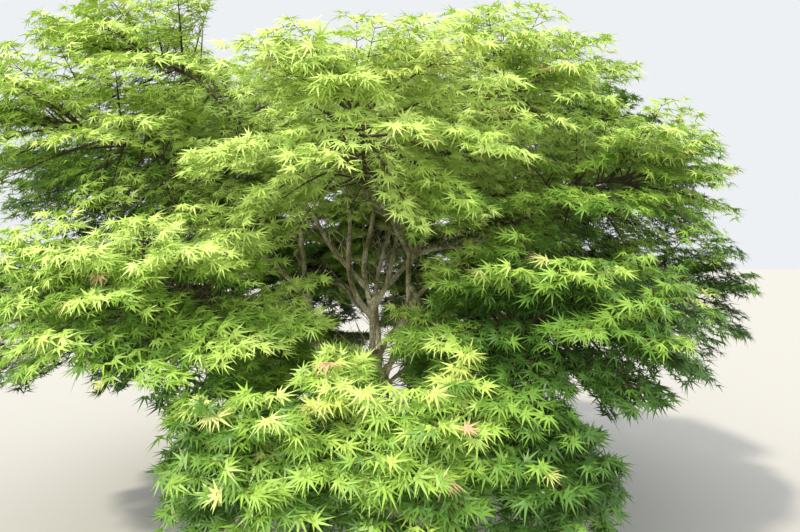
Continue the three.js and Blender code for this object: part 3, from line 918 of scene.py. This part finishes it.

# %% [markdown]
# ## Which spray gets which green
#
# Outer and upper sprays stand in more light and are paler, so the colour follows how far out and how high in
# its mass and in the crown a side twig ends, with some chance. The crown is paler in front than at its
# sides, and dappled: a few soft patches, placed to match the photograph, are brighter or deeper. A few
# branchlets are yellower, and a few shoots at the rim end in young cream or pink leaves.

# %% Colours dealt out by spray
# Painted light on a spray, from about 0 to 1: out and up go by its place in its mass, the rest by the crown.
LIGHT = SimpleNamespace(base=0.06, out=0.5, up=0.16, height=0.52, front=0.22, back=0.12, aside=(0.10, 0.28))
MIDDLE_HEIGHT, FAR_HALF = 1.5, 0.8
LIGHT_CHANCE = 0.16
YELLOWER, YOUNG_SHOOTS, PINK_SHOOTS = 0.06, 0.024, 0.006
RIM = 0.6
DAPPLES = [  # place, radius and change of light, all given one by one
    ((0.80, -1.50, 1.45), 0.50, -0.70),
    ((0.85, -2.00, 0.90), 0.40, -0.34),
    ((-0.55, -2.00, 0.90), 0.42, -0.34),
    ((1.45, -0.80, 2.05), 0.90, 0.60),
    ((0.60, -0.90, 1.95), 0.60, 0.50),
    ((-0.70, -1.20, 2.10), 0.75, 0.24),
    ((0.30, -2.00, 1.00), 0.35, 0.10),
]


def spray_colours(space, tips, owner, chance):
    """The colour of the leaves along each twig and of those at its end."""
    out = depth_in(space, tips)
    up = (tips[:, 2] - space.centre[2]) / space.tier.half_sizes[2]
    x, y, z = tips.T
    # Painted shade: the sides of the crown are deeper, the right one most, and more so higher up.
    shaded = (LIGHT.aside[0] * x + LIGHT.aside[1] * np.abs(x)) * (0.5 + 0.33 * z)
    # Painted sun: paler towards the front and, past FAR_HALF, towards the back.
    sunny = LIGHT.front * np.clip(-y, 0, 2) + LIGHT.back * np.clip(y - FAR_HALF, 0, 2)
    light = LIGHT.base + LIGHT.out * out + LIGHT.up * up + LIGHT.height * (z - MIDDLE_HEIGHT)
    light = light + sunny - shaded
    light += chance.normal(0, LIGHT_CHANCE, len(tips))
    # Soft patches of painted sun and painted shade.
    for place, radius, change in DAPPLES:
        light += change * np.exp(-((np.linalg.norm(tips - place, axis=1) / radius) ** 2))
    greens = np.clip(light * len(LEAF_GREENS), 0, len(LEAF_GREENS) - 1).astype(int)
    yellower = chance.uniform(0, 1, owner.max() + 1)[owner] < YELLOWER
    colours = np.where(yellower & (light > 0.5), YELLOW, greens)
    young = chance.uniform(0, 1, len(tips))
    ends = np.where((young < YOUNG_SHOOTS) & (out > RIM), YOUNG, colours)
    return colours, np.where((young < PINK_SHOOTS) & (out > RIM), BLUSH, ends)


print("soft patches of light:", len(DAPPLES))

# %% [markdown]
# ## Room for limbs and sky
#
# A spray dies back where a limb rubs it, so twigs and leaves keep clear of every limb. The crown also opens
# to the sky high on its left, between two masses. Three round lanes make that opening: no twig ends and no
# leaf sits in one. Limbs and lanes are both straight stretches with a radius, so one test serves both.

# %% Keeping clear of limbs and lanes
LIMB_STRETCHES = 8
LANE_STARTS = [(-0.407, -1.6, 2.493), (-0.565, -1.6, 2.633), (-0.434, -1.6, 2.72)]
LANE_ENDS = [(-0.695, -0.2, 2.94), (-0.930, -0.2, 3.15), (-0.690, -0.4, 3.2)]
LANE_RADII = [0.12, 0.13, 0.15]

# The last stretch of each limb is in the leaves, so it isn't among them.
kept_starts, kept_ends, kept_radii = [], [], []
for limb in limbs:
    starts, ends = stretches(limb.curve, LIMB_STRETCHES)
    middles = (np.arange(LIMB_STRETCHES - 1) + 0.5) / LIMB_STRETCHES
    kept_starts.append(starts[:-1])
    kept_ends.append(ends[:-1])
    kept_radii.append(mix(limb.foot, limb.tip, middles))
free_starts = np.concatenate(kept_starts + [LANE_STARTS])
free_ends = np.concatenate(kept_ends + [LANE_ENDS])
free_radii = np.concatenate(kept_radii + [LANE_RADII])


def is_clear(points, spare):
    ways = free_ends - free_starts
    from_start = points[:, None] - free_starts
    share = np.clip((from_start * ways).sum(-1) / (ways**2).sum(-1), 0, 1)
    apart = np.linalg.norm(from_start - share[..., None] * ways, axis=-1)
    return (apart > free_radii + spare).all(axis=1)


print("stretches kept free:", len(free_radii))

# %% [markdown]
# ## Meshes of stalks, leaves and twigs
#
# A stalk is a single thin triangle, because nobody sees its back. A leaf is its unit shape, turned and
# sized. A twig is a rod with three rings of corners, which is enough for its slight bend.

# %% Meshes of stalks, leaves and twigs
STALK_WIDTH = 0.0013  # from its middle to its edge
THINNER = 0.75  # how much a twig thins towards its end


def stalk_mesh(node, palm):
    width = STALK_WIDTH * unit(np.cross(UP, palm - node))
    corners = np.stack([node - width, palm, node + width], axis=1)
    return corners.reshape(-1, 3), copies(np.array([(0, 1, 2)]), len(node), 3)


def leaf_mesh(palm, direction, upper, size, shapes):
    sideways = unit(np.cross(upper, direction))
    axes = np.stack([direction, sideways, np.cross(direction, sideways)], axis=1) * size[:, None, None]
    corners = palm[:, None] + np.einsum("nkc,ncx->nkx", LEAF_SHAPES[shapes], axes)
    return corners.reshape(-1, 3), copies(LEAF_FACES, len(palm), LEAF_SHAPES.shape[1])


def twig_rods(twig, foot, sides):
    """Twigs as rods that taper to their ends. foot is the radius where each one starts."""
    shares = np.array((0.0, 0.5, 1.0))
    points = np.stack([along_twig(twig, np.full(len(twig[0]), share))[0] for share in shares], axis=1)
    return rods(points, foot[:, None] * (1 - THINNER * shares), sides)


print("triangles of a stalk:", len(stalk_mesh(np.zeros((1, 3)), np.array([(1.0, 0, 0)]))[1]))

# %% [markdown]
# ## Growing every mass
#
# Leaves are left off where they would stand out of their mass's space or touch a limb. Most leaves near the
# middle of a mass are left off too, as they get no light, except on its upper side, and on the far side of
# the crown. The twigs and stalks of a mass make one piece and its leaves another, each with its own finish.

# %% Rules for growing
SKIN = 1.04  # how deep leaves' ends may lie, where 1 is the skin of a mass
MARGIN = np.array((0.075, 0.075, 0.05))  # how far they may pass the box of the solids
INNER_SHARE, FAR_SHARE, TOP_SHARE = 0.08, 0.8, 2  # leaves kept: anywhere, at the back, near the top
TOP_LIMIT = 0.4
LEAF_ROOM, WOOD_ROOM = 0.02, 0.01  # kept free round limbs and lanes
STEM_RADII, STEM_POINTS, STEM_SIDES = (0.0115, 0.005), 12, 7
BRANCHLET = SimpleNamespace(slimness=0.012, thinnest=0.003, thickest=0.008, sides=5)
TWIG_RADIUS, TWIG_SIDES = 0.0019, 3
low, high = np.array(solid_box[0]) - MARGIN, np.array(solid_box[1]) + MARGIN


def grown_twigs(space, stem, branch, chance):
    """The twigs of a mass that carry leaves, with the number of each one's branchlet."""
    side, owner = side_twigs(branch, chance)
    leader, spurs = leader_twigs(branch), stem_twigs(stem)
    twig = tuple(np.concatenate(kinds) for kinds in zip(side, leader, spurs))
    owner = np.concatenate([owner, np.arange(len(branch[0])), np.zeros(len(spurs[0]), int)])
    stays = (depth_in(space, twig[2]) < 1) & is_clear(twig[2], LEAF_ROOM)
    stays &= is_clear(twig[1], WOOD_ROOM)
    return some(twig, stays), owner[stays]


def kept_leaves(space, node, palm, ends, facing_away, chance):
    """Which leaves stay. ends are their tips."""
    depth = depth_in(space, ends)
    above = np.clip((node[:, 2] - space.centre[2]) / space.tier.half_sizes[2], 0, TOP_LIMIT)
    likely = INNER_SHARE + FAR_SHARE * facing_away + depth + TOP_SHARE * above
    kept = (depth < SKIN) & is_clear(palm, LEAF_ROOM)
    kept &= chance.uniform(0, 1, len(depth)) < likely
    return kept & np.all((ends > low) & (ends < high), axis=1)


def wood_parts(stem, branch, twig):
    """Rods for the stem of a mass, its branchlets and its twigs."""
    shares = np.linspace(0, 1, STEM_POINTS)
    length = np.linalg.norm(branch[2] - branch[0], axis=1)
    feet = np.clip(BRANCHLET.slimness * length, BRANCHLET.thinnest, BRANCHLET.thickest)
    return [
        rods(stem.points(shares)[None], mix(*STEM_RADII, shares)[None], STEM_SIDES),
        twig_rods(branch, feet, BRANCHLET.sides),
        twig_rods(twig, np.full(len(twig[0]), TWIG_RADIUS), TWIG_SIDES),
    ]


print("leaves stay between", low.round(2).tolist(), "and", high.round(2).tolist())

# %% Growing
totals = np.zeros(4, int)
for i, space in enumerate(spaces):
    chance = np.random.default_rng(1000 + i)
    facing_away = max(0, space.outward[1])
    stem = stem_curve(space)
    branch = bent_branchlets(*branchlets(space, stem, i), chance)
    branch = some(branch, is_clear(branch[2], WOOD_ROOM))
    twig, owner = grown_twigs(space, stem, branch, chance)
    colours, tips = spray_colours(space, twig[2], owner, chance)
    node, palm, direction, upper, size, colour = leaves_on(twig, colours, tips, facing_away, chance)
    shapes = chance.integers(0, len(LEAF_SHAPES), len(node))
    kept = kept_leaves(space, node, palm, palm + direction * size[:, None], facing_away, chance)

    parts = wood_parts(stem, branch, twig)
    wood = sum(len(faces) for _, faces in parts)
    corners, faces = joined(parts + [stalk_mesh(node[kept], palm[kept])])
    kinds = np.where(np.arange(len(faces)) < wood, 0, 1)
    nodes = [f"foliage_{space.name}"]
    add_piece(f"twigs_{space.name}", corners, faces, [twig_material, stalk_material], nodes, kinds)

    corners, leaf_faces = leaf_mesh(palm[kept], direction[kept], upper[kept], size[kept], shapes[kept])
    greens = np.repeat(colour[kept], len(LEAF_FACES))
    add_piece(f"leaves_{space.name}", corners, leaf_faces, leaf_materials, nodes, greens)
    totals += (len(branch[0]), len(twig[0]), kept.sum(), len(faces) + len(leaf_faces))
print("branchlets, twigs, leaves and triangles:", totals.tolist())

# %% [markdown]
# ## Floor and light
#
# A plain pale floor and a soft sky show the tree by itself. One sun from high on the viewer's left and
# front makes the tiers read: bright on top and dark below. A second one, wide and soft and low in front,
# keeps the stems and the shaded leaves from going black.

# %% Floor
FLOOR = 300.0  # half its width, so that its edge lies at the horizon
floor_corners = [(x * FLOOR, y * FLOOR, 0.0) for x, y in ((-1, -1), (1, -1), (1, 1), (-1, 1))]
floor_mesh = bpy.data.meshes.new("floor")
floor_mesh.from_pydata(floor_corners, [], [(0, 1, 2, 3)])
floor_mesh.materials.append(new_material("floor_paper", Base_Color=linear("#c8c6c0"), Roughness=0.9))
floor = bpy.data.objects.new("floor", floor_mesh)
bpy.context.scene.collection.objects.link(floor)
print("floor:", 2 * FLOOR, "m wide")

# %% Light
world = bpy.data.worlds.new("soft_sky")
world.use_nodes = True
world.node_tree.nodes["Background"].inputs["Color"].default_value = linear("#eef1f4")
world.node_tree.nodes["Background"].inputs["Strength"].default_value = 1.0
bpy.context.scene.world = world


def add_sun(name, strength, width, tilt, turn, colour):
    """A sun of some width, tilted from overhead and turned about the upright axis, all in degrees."""
    data = bpy.data.lights.new(name, "SUN")
    data.energy = strength
    data.angle = math.radians(width)
    data.color = linear(colour)[:3]
    light = bpy.data.objects.new(name, data)
    light.rotation_euler = (math.radians(tilt), 0, math.radians(turn))
    bpy.context.scene.collection.objects.link(light)


add_sun("sun", strength=2.55, width=5, tilt=40, turn=-40, colour="#fff6e4")
add_sun("fill", strength=1.7, width=60, tilt=77, turn=-10, colour="#ffffff")
bpy.context.scene.view_settings.view_transform = "Standard"
print("lights:", len(bpy.data.lights))
